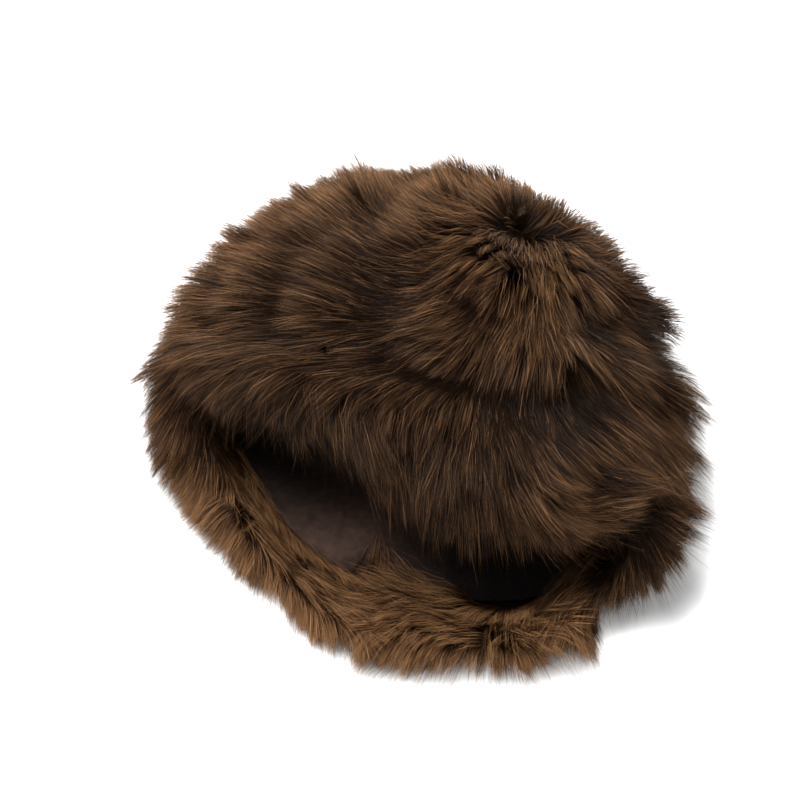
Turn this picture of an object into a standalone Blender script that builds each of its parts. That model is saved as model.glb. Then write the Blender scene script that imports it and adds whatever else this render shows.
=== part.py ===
"""A Russian hat of deep brown fur, lying on its back on a surface with its head opening towards -Y.

The hat is a soft bag. Around it the bag is measured by a turn, in degrees: 0 at the right (+X), 90 on top,
180 at the left and 270 underneath. Along it the bag is measured by a step: 0 at the far end of the crown,
1 at the seam between the crown and the bands, and 2 at the rim of the opening.
The lining is this bag's wall. The fur panels lie on it, each one body with its locks.
"""

from collections import namedtuple
import math

import bmesh
import bpy
import numpy as np

# The bag under the fur
BAG_WIDTH = 0.226
BAG_LENGTH = 0.236
BAG_HEIGHT = 0.097
DOME_LENGTH = 0.102
CROWN_LEAN = 0.006
LEAN_LENGTH = 0.150
FAR_END_HEIGHT = 0.052
WIDEST_HEIGHT = 0.046
RIM_SINK = 0.034
UPPER_FULLNESS = 2.2
UNDER_FULLNESS = 3.2
DOME_FULLNESS = 1.85
HEEL_FULLNESS = 3.2

# Walls and gaps
LINING_WALL = 0.002
PIECE_GAP = 0.0003
LINING_GAP = 0.0009
LINING_SETBACK = 0.0025

# The fur
PILE = 0.036
SKIN_SHARE = 0.76
UNDER_PILE = 0.008
LOCK_RELIEF = 0.0065
LOCK_LEAN = 0.0045
LOCK_ROOT_SHARE = 0.35
DEEPEST_DENT = 0.7
SEAM_WIDTH = 0.013
BAND_SEAM_DEPTH = 0.013
SIDE_SEAM_SHARE = 0.35
PANEL_SEAM_DEPTH = 0.006
FRINGE = 0.031
FRINGE_JAG = 0.008

# Grid sizes, in cells
CROWN_ROWS = 15
WHORL_STEP = 0.4
BAND_ROWS = 8
NOSE_ROWS = 6
CROWN_BACKING_ROWS = 6
BAND_BACKING_ROWS = 4
LOCK_CELLS_WIDE = 4
LOCK_CELLS_LONG = 3
CELL_DEGREES = 5
LINING_CELL_DEGREES = 10

# Small numbers that the working-out uses
LEAST_OPENED = 0.2
SEAM_NUDGE = 0.01
TURN_NUDGE = 1.0
SHARP_DEGREES = 50.0

# How far the seam and the rim stand from the crown's far end, as shares of BAG_LENGTH, at each turn, how many
# degrees the fur rolls over the rim, and how far it stands from the rim there, as a share of FRINGE
Reach = namedtuple("Reach", "turn seam rim roll fringe")
REACHES = (
    Reach(turn=0, seam=0.53, rim=0.77, roll=128, fringe=1.0),
    Reach(turn=30, seam=0.52, rim=0.71, roll=112, fringe=1.0),
    Reach(turn=60, seam=0.51, rim=0.70, roll=106, fringe=0.97),
    Reach(turn=90, seam=0.50, rim=0.64, roll=106, fringe=0.87),
    Reach(turn=120, seam=0.43, rim=0.50, roll=106, fringe=0.71),
    Reach(turn=150, seam=0.35, rim=0.42, roll=106, fringe=0.71),
    Reach(turn=180, seam=0.34, rim=0.43, roll=124, fringe=1.1),
    Reach(turn=210, seam=0.39, rim=0.52, roll=138, fringe=1.4),
    Reach(turn=240, seam=0.49, rim=0.68, roll=142, fringe=1.35),
    Reach(turn=270, seam=0.55, rim=0.87, roll=142, fringe=1.1),
    Reach(turn=300, seam=0.55, rim=0.87, roll=142, fringe=1.0),
    Reach(turn=330, seam=0.54, rim=0.74, roll=138, fringe=1.0),
)

# Hollows in the fur, placed as shares of BAG_WIDTH from the middle and of BAG_LENGTH from the far end
Dent = namedtuple("Dent", "across along reach_across reach_along depth")
DENTS = (
    Dent(across=-0.04, along=0.36, reach_across=0.20, reach_along=0.05, depth=0.36),
    Dent(across=0.13, along=0.42, reach_across=0.12, reach_along=0.05, depth=0.32),
    Dent(across=0.44, along=0.38, reach_across=0.12, reach_along=0.05, depth=0.42),
    Dent(across=0.25, along=0.57, reach_across=0.11, reach_along=0.05, depth=0.55),
    Dent(across=0.34, along=0.66, reach_across=0.05, reach_along=0.09, depth=0.42),
    Dent(across=0.35, along=0.79, reach_across=0.07, reach_along=0.05, depth=0.45),
    Dent(across=0.47, along=0.87, reach_across=0.07, reach_along=0.05, depth=0.40),
)

# Each fur panel, between two turns that are whole cells, and whether it runs on to the rim
Panel = namedtuple("Panel", "name start end band")
PANELS = (
    Panel(name="crown_left_panel", start=95, end=190, band=False),
    Panel(name="crown_right_panel", start=-10, end=95, band=False),
    Panel(name="crown_under_panel", start=190, end=350, band=False),
    Panel(name="front_band", start=30, end=155, band=True),
    Panel(name="left_ear_flap", start=155, end=240, band=True),
    Panel(name="nape_band", start=240, end=305, band=True),
    Panel(name="right_ear_flap", start=305, end=390, band=True),
)

FUR_BROWN = (0.052, 0.025, 0.012, 1.0)
LINING_BROWN = (0.030, 0.014, 0.010, 1.0)
FUR_ROUGHNESS = 0.62
LINING_ROUGHNESS = 0.78


def clear_scene():
    """Remove the objects that the file holds."""
    for thing in list(bpy.data.objects):
        bpy.data.objects.remove(thing, do_unlink=True)


def make_material(name, colour, roughness):
    """A plain material of one colour."""
    material = bpy.data.materials.new(name)
    material.use_nodes = True
    shader = material.node_tree.nodes["Principled BSDF"]
    shader.inputs["Base Color"].default_value = colour
    shader.inputs["Roughness"].default_value = roughness
    shader.inputs["Metallic"].default_value = 0.0
    return material


def smooth_step(value):
    """0 to 1 with level ends."""
    held = min(max(value, 0.0), 1.0)
    return held * held * (3.0 - 2.0 * held)


def read_reach(turn, column):
    """One column of REACHES at any turn, on a smooth closed curve through its rows."""
    place = (turn % 360.0) / 360.0 * len(REACHES)
    row = int(place)
    share = place - row
    before, here, after, beyond = (
        getattr(REACHES[(row + step) % len(REACHES)], column) for step in (-1, 0, 1, 2)
    )
    return 0.5 * (
        2.0 * here
        + (after - before) * share
        + (2.0 * before - 5.0 * here + 4.0 * after - beyond) * share**2
        + (3.0 * here - before - 3.0 * after + beyond) * share**3
    )


def dome(distance, fullness):
    """How far a section has opened, 0 at the crown's far end and 1 past the dome."""
    left = 1.0 - min(distance / DOME_LENGTH, 1.0)
    return (1.0 - left**fullness) ** (1.0 / fullness)


def bag_point(step, turn):
    """A point on the bag's outer face."""
    seam = read_reach(turn, "seam") * BAG_LENGTH
    rim = read_reach(turn, "rim") * BAG_LENGTH
    if step <= 1.0:
        distance = seam * (1.0 - math.cos(step * math.pi / 2.0))
    else:
        distance = seam + (rim - seam) * (step - 1.0)
    opened = dome(distance, DOME_FULLNESS)
    sink = RIM_SINK * smooth_step((distance - DOME_LENGTH) / (BAG_LENGTH - DOME_LENGTH))
    top = FAR_END_HEIGHT + (UNDER_PILE + BAG_HEIGHT - FAR_END_HEIGHT) * opened - sink
    foot = FAR_END_HEIGHT - (FAR_END_HEIGHT - UNDER_PILE) * dome(distance, HEEL_FULLNESS)
    middle = FAR_END_HEIGHT + (WIDEST_HEIGHT - FAR_END_HEIGHT) * opened
    angle = math.radians(turn)
    lift = math.sin(angle)
    side = math.cos(angle)
    fullness = UPPER_FULLNESS if lift > 0.0 else UNDER_FULLNESS
    across = math.copysign(abs(side) ** (2.0 / fullness), side)
    height = abs(lift) ** (2.0 / fullness)
    x = BAG_WIDTH / 2.0 * opened * across + CROWN_LEAN * (1.0 - smooth_step(distance / LEAN_LENGTH))
    z = middle + (top - middle) * height if lift > 0.0 else middle - (middle - foot) * height
    return np.array((x, -distance, z))


def bag_frame(step, turn):
    """A point of the bag with its outward direction and its direction towards the opening."""
    point = bag_point(step, turn)
    forward = bag_point(min(step + SEAM_NUDGE, 2.0), turn) - bag_point(step - SEAM_NUDGE, turn)
    around = bag_point(step, turn + TURN_NUDGE) - bag_point(step, turn - TURN_NUDGE)
    outward = np.cross(around, forward)
    outward /= np.linalg.norm(outward)
    forward /= np.linalg.norm(forward)
    return point, outward, forward


def dent_depth(point):
    """The share of the pile that the hollows take away at a point."""
    taken = 0.0
    for dent in DENTS:
        across = (point[0] / BAG_WIDTH - dent.across) / dent.reach_across
        along = (-point[1] / BAG_LENGTH - dent.along) / dent.reach_along
        if point[2] > WIDEST_HEIGHT:
            taken += dent.depth * math.exp(-(across * across) - along * along)
    return min(taken, DEEPEST_DENT)


def lock_ridge(column):
    """How high a lock stands across its width: 0 in a parting and 1 along its middle."""
    return 0.5 - 0.5 * math.cos(2.0 * math.pi * column / LOCK_CELLS_WIDE)


def lock_relief(column, row):
    """Height of the locks' roof-tile pattern at a grid point, from about -1 in a parting to 1 at a tip."""
    tier = row // LOCK_CELLS_LONG
    along = (row % LOCK_CELLS_LONG) / (LOCK_CELLS_LONG - 1.0)
    ridge = lock_ridge(column + (tier % 2) * LOCK_CELLS_WIDE // 2)
    return 2.0 * ridge * (LOCK_ROOT_SHARE + (1.0 - LOCK_ROOT_SHARE) * along) - 1.0


def seam_fade(turns, column, step):
    """How far a grid point is clear of its panel's seams, and how deep the fur's valley is there.

    The first is 0 on a seam and 1 out of its reach. The seam of crown and bands makes the deeper valley,
    which is full on top and shallower round the sides.
    """
    here = bag_point(step, turns[column])
    sides = [bag_point(step, turns[0]), bag_point(step, turns[-1])]
    side = smooth_step(min(np.linalg.norm(here - seam) for seam in sides) / SEAM_WIDTH)
    ring = smooth_step(np.linalg.norm(here - bag_point(1.0, turns[column])) / SEAM_WIDTH)
    topness = max(math.sin(math.radians(turns[column])), 0.0)
    deep = BAND_SEAM_DEPTH * (SIDE_SEAM_SHARE + (1.0 - SIDE_SEAM_SHARE) * topness)
    valley = max(deep * (1.0 - ring), PANEL_SEAM_DEPTH * (1.0 - side))
    return min(side, ring), valley


def on_floor(point):
    """The point, kept on or above the surface that the hat lies on."""
    return np.array((point[0], point[1], max(point[2], 0.0)))


def skin_point(step, turn, column, row, fade, valley):
    """A point of the fur's outer face, over the bag at this step and turn."""
    point, outward, forward = bag_frame(step, turn)
    relief = lock_relief(column, row) * fade * smooth_step(step / WHORL_STEP)
    pile = PILE * SKIN_SHARE * (1.0 - dent_depth(point))
    height = pile + LOCK_RELIEF * relief - valley
    return on_floor(point + outward * max(height, UNDER_PILE) + forward * LOCK_LEAN * relief)


def nose_point(turn, share, column, fade, valley):
    """A point of the fur that rolls over the rim: share 0 is at its outer side and 1 at its end inside."""
    rim, outward, forward = bag_frame(2.0, turn)
    roll = math.radians(read_reach(turn, "roll"))
    angle = roll * share
    start = PILE * SKIN_SHARE * (1.0 - dent_depth(rim))
    reach = start + (FRINGE * read_reach(turn, "fringe") - start) * smooth_step(share * 2.0)
    jag = FRINGE_JAG * (lock_ridge(column) - 0.5) * math.sin(math.pi * share) * fade
    length = reach + jag - valley
    return on_floor(rim + length * (outward * math.cos(angle) + forward * math.sin(angle)))


def panel_turns(panel):
    """The turns of a panel's columns."""
    cells = round((panel.end - panel.start) / CELL_DEGREES)
    return np.linspace(panel.start, panel.end, cells + 1)


def turn_beside_seam(turns, column, step):
    """A column's turn, where the end columns stand back from their seams by half the gap or a little more."""
    opened = dome(read_reach(turns[column], "seam") * BAG_LENGTH * min(step, 1.0) ** 2, DOME_FULLNESS)
    radius = (WIDEST_HEIGHT - UNDER_PILE) * max(opened, LEAST_OPENED)
    back = math.degrees(PIECE_GAP / 2.0 / radius)
    shift = {0: back, len(turns) - 1: -back}.get(column, 0.0)
    return turns[column] + shift


def step_beside_seam(turn, side):
    """The step at which a panel ends, half the gap before (-1) or past (1) the seam of crown and bands."""
    ahead = np.linalg.norm(bag_point(1.0 + SEAM_NUDGE, turn) - bag_point(1.0 - SEAM_NUDGE, turn))
    return 1.0 + side * PIECE_GAP / 2.0 / (ahead / (2.0 * SEAM_NUDGE))


def add_grid(bm, rows, flip):
    """Faces between rows of vertices that have the same number of columns."""
    for upper, lower in zip(rows, rows[1:]):
        for column in range(len(upper) - 1):
            corners = [upper[column], upper[column + 1], lower[column + 1], lower[column]]
            bm.faces.new(corners[::-1] if flip else corners)


def add_wall(bm, outer, inner, flip):
    """Triangles from an outer to an inner row, slanting alike in every panel so that facing walls fit."""
    for column in range(len(outer) - 1):
        first = [outer[column], outer[column + 1], inner[column]]
        second = [outer[column + 1], inner[column + 1], inner[column]]
        for corners in (first, second):
            bm.faces.new(corners[::-1] if flip else corners)


def add_fan(bm, tip, ring, flip):
    """Triangles from one vertex to a row."""
    for column in range(len(ring) - 1):
        corners = [tip, ring[column + 1], ring[column]]
        bm.faces.new(corners[::-1] if flip else corners)


def finish_object(name, bm, material):
    """Turn the finished bmesh into a named object with its faces outwards and its smooth sides shaded so."""
    bmesh.ops.triangulate(bm, faces=bm.faces[:])
    bmesh.ops.recalc_face_normals(bm, faces=bm.faces[:])
    mesh = bpy.data.meshes.new(name)
    bm.to_mesh(mesh)
    bm.free()
    mesh.shade_smooth()
    mesh.set_sharp_from_angle(angle=math.radians(SHARP_DEGREES))
    mesh.materials.append(material)
    piece = bpy.data.objects.new(name, mesh)
    bpy.context.scene.collection.objects.link(piece)
    return piece


def make_crown_panel(panel, material):
    """A sector of the crown: an outer face of locks and an inner backing, both running from the far end."""
    turns = panel_turns(panel)
    bm = bmesh.new()

    def place(share, column, row=None):
        """A vertex of the outer face in its lock row, or of the backing where no row is given."""
        turn = turn_beside_seam(turns, column, share)
        step = share * step_beside_seam(turn, -1)
        if row is None:
            return bag_point(step, turn)
        return skin_point(step, turn, column, row, *seam_fade(turns, column, share))

    columns = range(len(turns))
    skin = [
        [bm.verts.new(place(row / CROWN_ROWS, column, row)) for column in columns]
        for row in range(1, CROWN_ROWS + 1)
    ]
    backing = [
        [bm.verts.new(place(row / CROWN_BACKING_ROWS, column)) for column in columns]
        for row in range(1, CROWN_BACKING_ROWS + 1)
    ]

    middle = math.radians((panel.start + panel.end) / 2.0)
    far_end = bag_point(0.0, 0.0) + PIECE_GAP * np.array((math.cos(middle), 0.0, math.sin(middle)))
    skin_tip = bm.verts.new(far_end + np.array((0.0, PILE * SKIN_SHARE, 0.0)))
    backing_tip = bm.verts.new(far_end)
    close_panel(bm, skin, backing, (skin_tip, backing_tip), CROWN_ROWS)
    return finish_object(panel.name, bm, material)


def make_band_panel(panel, material):
    """A piece of the bands: locks from the seam to the rim, a roll over the rim, and an inner backing."""
    turns = panel_turns(panel)
    bm = bmesh.new()

    def place(share, column, row=None):
        """A vertex of the outer face in its lock row, or of the backing where no row is given."""
        turn = turn_beside_seam(turns, column, 1.0)
        first = step_beside_seam(turn, 1)
        step = first + (2.0 - first) * share
        if row is None:
            return bag_point(step, turn)
        return skin_point(step, turn, column, row, *seam_fade(turns, column, 1.0 + share))

    def roll(share, column):
        """A vertex of the fur that rolls over the rim."""
        turn = turn_beside_seam(turns, column, 1.0)
        return nose_point(turn, share, column, *seam_fade(turns, column, 2.0))

    columns = range(len(turns))
    skin = [
        [bm.verts.new(place(row / BAND_ROWS, column, row)) for column in columns]
        for row in range(BAND_ROWS + 1)
    ]
    skin += [
        [bm.verts.new(roll(row / NOSE_ROWS, column)) for column in columns]
        for row in range(1, NOSE_ROWS + 1)
    ]
    backing = [
        [bm.verts.new(place(row / BAND_BACKING_ROWS, column)) for column in columns]
        for row in range(BAND_BACKING_ROWS + 1)
    ]
    close_panel(bm, skin, backing, (), BAND_ROWS)
    return finish_object(panel.name, bm, material)


def close_panel(bm, skin, backing, tips, bag_rows):
    """Join an outer and an inner face of the same columns into one closed body.

    The outer face's first bag_rows rows lie over the backing, and any further rows roll over the rim.
    """
    add_grid(bm, skin, False)
    add_grid(bm, backing, True)
    add_wall(bm, skin[-1], backing[-1], False)
    if tips:
        add_fan(bm, tips[0], skin[0], False)
        add_fan(bm, tips[1], backing[0], True)
    else:
        add_wall(bm, skin[0], backing[0], True)
    for column in (0, -1):
        outer = [ring[column] for ring in skin]
        inner = [ring[column] for ring in backing]
        if tips:
            outer = [tips[0]] + outer
            inner = [tips[1]] + inner
        add_side(bm, outer, inner, bag_rows)


def add_side(bm, outer, inner, bag_rows):
    """A wall between an outer and an inner edge, in triangles that step along whichever edge lags."""
    i, j = 0, 0
    while i < len(outer) - 1 or j < len(inner) - 1:
        outer_share = (i + 1) / bag_rows
        inner_share = (j + 1) / (len(inner) - 1)
        if j == len(inner) - 1 or outer_share <= inner_share:
            bm.faces.new([outer[i], outer[i + 1], inner[j]])
            i += 1
        else:
            bm.faces.new([outer[i], inner[j + 1], inner[j]])
            j += 1


def make_lining(material):
    """The bag's own wall, closed at the crown's far end and open at the rim."""
    bm = bmesh.new()
    turns = range(0, 360, LINING_CELL_DEGREES)
    steps = [row / CROWN_BACKING_ROWS for row in range(1, CROWN_BACKING_ROWS + 1)]
    steps += [1.0 + row / BAND_BACKING_ROWS for row in range(1, BAND_BACKING_ROWS + 1)]
    faces = []
    for depth in (LINING_GAP, LINING_GAP + LINING_WALL):
        rings = []
        for step in steps:
            ring = []
            for turn in turns:
                length = (read_reach(turn, "rim") - read_reach(turn, "seam")) * BAG_LENGTH
                point, outward, _ = bag_frame(min(step, 2.0 - LINING_SETBACK / length), turn)
                ring.append(bm.verts.new(point - outward * depth))
            rings.append(ring + ring[:1])
        tip = bm.verts.new(bag_point(0.0, 0.0) - np.array((0.0, depth, 0.0)))
        faces.append((tip, rings))
    for (tip, rings), flip in zip(faces, (False, True)):
        add_fan(bm, tip, rings[0], flip)
        add_grid(bm, rings, flip)
    add_grid(bm, [faces[0][1][-1], faces[1][1][-1]], False)
    return finish_object("lining", bm, material)


def centre_on_floor(pieces):
    """Put the middle of the hat's box over the origin, with its lowest face at height 0."""
    corners = np.array([vertex.co[:] for piece in pieces for vertex in piece.data.vertices])
    middle = (corners.min(axis=0) + corners.max(axis=0)) / 2.0
    for piece in pieces:
        for vertex in piece.data.vertices:
            vertex.co.x -= middle[0]
            vertex.co.y -= middle[1]


clear_scene()
fur = make_material("fur", FUR_BROWN, FUR_ROUGHNESS)
nap = make_material("lining_nap", LINING_BROWN, LINING_ROUGHNESS)
hat = [make_lining(nap)]
for entry in PANELS:
    make_panel = make_band_panel if entry.band else make_crown_panel
    hat.append(make_panel(entry, fur))
centre_on_floor(hat)
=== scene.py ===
# %% [markdown]
# # A deep brown fur hat, dressed strand by strand
# The model that we load holds the hat's true form: seven fur panels and a lining. It lies on its back with
# its head opening towards us. Here we grow the hair on the panels and give the lining its nap.
# Everything is in metres, and each new piece goes where the loaded panels are.

# %% Load the hat's form
import math
from collections import namedtuple

import bmesh
import bpy
import numpy as np
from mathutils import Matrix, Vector
from mathutils.bvhtree import BVHTree
from mathutils.kdtree import KDTree


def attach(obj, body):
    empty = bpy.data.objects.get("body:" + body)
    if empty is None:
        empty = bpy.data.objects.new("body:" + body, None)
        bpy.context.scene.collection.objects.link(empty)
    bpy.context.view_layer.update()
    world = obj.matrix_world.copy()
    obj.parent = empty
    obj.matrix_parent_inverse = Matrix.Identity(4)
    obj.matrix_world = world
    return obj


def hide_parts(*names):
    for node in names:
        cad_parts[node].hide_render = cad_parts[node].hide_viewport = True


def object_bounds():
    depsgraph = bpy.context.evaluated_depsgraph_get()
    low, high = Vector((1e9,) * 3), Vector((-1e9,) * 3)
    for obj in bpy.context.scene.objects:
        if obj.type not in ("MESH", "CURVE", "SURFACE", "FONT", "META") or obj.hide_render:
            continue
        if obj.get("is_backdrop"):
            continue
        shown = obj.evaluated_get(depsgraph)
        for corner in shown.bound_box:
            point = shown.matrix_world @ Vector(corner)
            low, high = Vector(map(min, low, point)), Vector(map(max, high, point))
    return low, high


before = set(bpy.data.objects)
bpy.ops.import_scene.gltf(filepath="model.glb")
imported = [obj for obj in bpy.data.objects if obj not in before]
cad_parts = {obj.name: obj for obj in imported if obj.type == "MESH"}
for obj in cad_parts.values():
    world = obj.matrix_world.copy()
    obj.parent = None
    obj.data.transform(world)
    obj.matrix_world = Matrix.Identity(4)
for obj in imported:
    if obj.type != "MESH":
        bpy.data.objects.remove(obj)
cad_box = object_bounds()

BOX_LOW, BOX_HIGH = (np.array(corner) for corner in cad_box)
print("the hat measures", np.round((BOX_HIGH - BOX_LOW) * 1000), "mm")

# %% [markdown]
# ## The camera
# The photograph looks down at the hat from about 60 degrees. An 85 mm lens about a metre away
# gives the flat look of a shop picture. The camera comes first because the
# guides that comb the hair are placed by what it sees.

# %% Place the camera
VIEW_ELEVATION = math.radians(62.0)
VIEW_DISTANCE = 1.0
LENS_MM = 85.0
SENSOR_MM = 36.0
FRAME_PIXELS = 800.0
HAT_MIDDLE = Vector(((BOX_LOW[0] + BOX_HIGH[0]) / 2, (BOX_LOW[1] + BOX_HIGH[1]) / 2, 0.055))
MIDDLE_PIXEL_X = 414.0
MIDDLE_PIXEL_Y = 395.0
METRES_PER_PIXEL = VIEW_DISTANCE * SENSOR_MM / LENS_MM / FRAME_PIXELS

towards_camera = Vector((0.0, -math.cos(VIEW_ELEVATION), math.sin(VIEW_ELEVATION)))
camera_data = bpy.data.cameras.new("photo_camera")
camera_data.lens = LENS_MM
camera_data.sensor_width = SENSOR_MM
camera = bpy.data.objects.new("photo_camera", camera_data)
camera.rotation_euler = towards_camera.to_track_quat("Z", "Y").to_euler()
camera_right = camera.rotation_euler.to_matrix() @ Vector((1.0, 0.0, 0.0))
camera_up = camera.rotation_euler.to_matrix() @ Vector((0.0, 1.0, 0.0))
aim = HAT_MIDDLE - camera_right * (MIDDLE_PIXEL_X - FRAME_PIXELS / 2) * METRES_PER_PIXEL
aim = aim + camera_up * (MIDDLE_PIXEL_Y - FRAME_PIXELS / 2) * METRES_PER_PIXEL
camera.location = aim + towards_camera * VIEW_DISTANCE
bpy.context.scene.collection.objects.link(camera)
bpy.context.scene.camera = camera
print("one pixel at the hat is", round(METRES_PER_PIXEL * 1000, 2), "mm")

# %% [markdown]
# ## Floor and light
# The hat lies on a white sweep under soft light. A white world lights it
# from all round, which gives the faint grey halo where the hair meets the floor, and one broad lamp overhead,
# a little behind and to the left, lights the tips and leaves the opening dark.

# %% Build the floor and the lights
FLOOR_SIZE = 6.0
FLOOR_WHITE = (0.93, 0.93, 0.93, 1.0)
WORLD_STRENGTH = 0.62
LAMP_SIZE = 0.9
LAMP_WATTS = 78.0
LAMP_PLACE = Vector((-0.35, 0.35, 1.5))


def plain_material(name, colour, roughness):
    """A material whose colour is the same all over."""
    material = bpy.data.materials.new(name)
    material.use_nodes = True
    shader = material.node_tree.nodes["Principled BSDF"]
    shader.inputs["Base Color"].default_value = colour
    shader.inputs["Roughness"].default_value = roughness
    return material


floor_mesh = bpy.data.meshes.new("floor")
half = FLOOR_SIZE / 2
floor_mesh.from_pydata([(-half, -half, 0), (half, -half, 0), (half, half, 0), (-half, half, 0)], [], [(0, 1, 2, 3)])
floor = bpy.data.objects.new("floor", floor_mesh)
floor_mesh.materials.append(plain_material("white_floor", FLOOR_WHITE, 0.9))
bpy.context.scene.collection.objects.link(floor)
floor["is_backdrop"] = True

world = bpy.data.worlds.new("white_studio")
world.use_nodes = True
world.node_tree.nodes["Background"].inputs["Color"].default_value = (1.0, 1.0, 1.0, 1.0)
world.node_tree.nodes["Background"].inputs["Strength"].default_value = WORLD_STRENGTH
bpy.context.scene.world = world
bpy.context.scene.view_settings.view_transform = "Standard"

lamp_data = bpy.data.lights.new("soft_box", "AREA")
lamp_data.size = LAMP_SIZE
lamp_data.energy = LAMP_WATTS
lamp = bpy.data.objects.new("soft_box", lamp_data)
lamp.location = LAMP_PLACE
lamp.rotation_euler = (LAMP_PLACE - HAT_MIDDLE).to_track_quat("Z", "Y").to_euler()
bpy.context.scene.collection.objects.link(lamp)
print("one lamp of", LAMP_SIZE, "m and a white world")

# %% [markdown]
# ## One coat over all the panels
# Each loaded panel is a solid with coarse locks, and panels meet at seams. Real fur hides its seams, because
# the hair of one panel lies over the next. So we wrap everything in one surface with a voxel remesh, which
# bridges the fine gaps, and soften it. We call that surface the coat. Each point of it remembers which loaded
# piece is under it, how thick the hat is there, and whether it looks out into open air or into the hollow.

# %% Wrap the panels in one coat
FUR_PANELS = (
    "crown_left_panel", "crown_right_panel", "crown_under_panel",
    "front_band", "left_ear_flap", "right_ear_flap", "nape_band",
)
COAT_VOXEL = 0.0036
COAT_SMOOTHING = 16
WELD = 0.00001
GAP_CLOSING = 0.0006
TRAIT_SMOOTHING = 8
RAY_START = 0.0010
HOLLOW_REACH = 0.130

Coat = namedtuple("Coat", "points normals triangles owners thickness openness")


def drop_islands(bm):
    """Keep only the largest connected part of a bmesh."""
    left = set(bm.verts)
    parts = []
    while left:
        front = [left.pop()]
        part = list(front)
        while front:
            reached = {edge.other_vert(vertex) for vertex in front for edge in vertex.link_edges} & left
            left -= reached
            part.extend(reached)
            front = list(reached)
        parts.append(part)
    parts.sort(key=len)
    bmesh.ops.delete(bm, geom=[vertex for part in parts[:-1] for vertex in part], context="VERTS")


def swollen(node):
    """A loaded piece's mesh, grown by a hair's breadth so that the fine gaps to its neighbours close."""
    bm = bmesh.new()
    bm.from_mesh(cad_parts[node].data)
    bmesh.ops.remove_doubles(bm, verts=bm.verts[:], dist=WELD)
    bm.normal_update()
    for vertex in bm.verts:
        vertex.co += vertex.normal * GAP_CLOSING
    mesh = bpy.data.meshes.new("swollen")
    bm.to_mesh(mesh)
    bm.free()
    return mesh


def wrapped_pieces():
    """A bmesh that closes round all the loaded pieces, softened."""
    joined = bmesh.new()
    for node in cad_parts:
        joined.from_mesh(swollen(node))
    mesh = bpy.data.meshes.new("wrap")
    joined.to_mesh(mesh)
    joined.free()
    wrap = bpy.data.objects.new("wrap", mesh)
    bpy.context.scene.collection.objects.link(wrap)
    voxels = wrap.modifiers.new("voxels", "REMESH")
    voxels.mode = "VOXEL"
    voxels.voxel_size = COAT_VOXEL
    bm = bmesh.new()
    bm.from_mesh(wrap.evaluated_get(bpy.context.evaluated_depsgraph_get()).data)
    bpy.data.objects.remove(wrap)
    drop_islands(bm)
    for _ in range(COAT_SMOOTHING):
        bmesh.ops.smooth_vert(bm, verts=bm.verts[:], factor=0.5, use_axis_x=True, use_axis_y=True, use_axis_z=True)
    bmesh.ops.triangulate(bm, faces=bm.faces[:])
    bm.normal_update()
    bm.verts.index_update()
    return bm


def spread(values, edges):
    """Values of the coat's points, each blended with its neighbours' several times."""
    count = np.bincount(edges.ravel(), minlength=len(values)) + 1.0
    for _ in range(TRAIT_SMOOTHING):
        total = values.copy()
        np.add.at(total, edges[:, 0], values[edges[:, 1]])
        np.add.at(total, edges[:, 1], values[edges[:, 0]])
        values = total / count
    return values


def node_tree(node):
    """A loaded piece's faces, ready for nearest-point questions."""
    bm = bmesh.new()
    bm.from_mesh(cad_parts[node].data)
    tree = BVHTree.FromBMesh(bm)
    bm.free()
    return tree


def ray_length(tree, point, way, limit):
    """How far a ray runs before it meets the tree's surface, at most limit."""
    found = tree.ray_cast(Vector(point + way * RAY_START), Vector(way), limit)[3]
    return limit if found is None else found


bm = wrapped_pieces()
coat_tree = BVHTree.FromBMesh(bm)
points = np.array([vertex.co[:] for vertex in bm.verts])
normals = np.array([vertex.normal[:] for vertex in bm.verts])
triangles = np.array([[vertex.index for vertex in face.verts] for face in bm.faces])
edges = np.array([[vertex.index for vertex in edge.verts] for edge in bm.edges])
bm.free()
names = list(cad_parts)
gaps = np.array([[tree.find_nearest(point)[3] for point in points] for tree in map(node_tree, names)])
owners = gaps.argmin(axis=0)[triangles[:, 0]]
thickness = gaps[names.index("lining")]
openness = np.array([ray_length(coat_tree, point, way, HOLLOW_REACH) for point, way in zip(points, normals)])
coat = Coat(points, normals, triangles, owners, spread(thickness, edges), spread(openness / HOLLOW_REACH, edges))
skin_owners = np.array([gaps[names.index(name)] for name in FUR_PANELS]).argmin(axis=0)[triangles[:, 0]]
print("the coat has", len(points), "points and", len(triangles), "faces")
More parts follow.
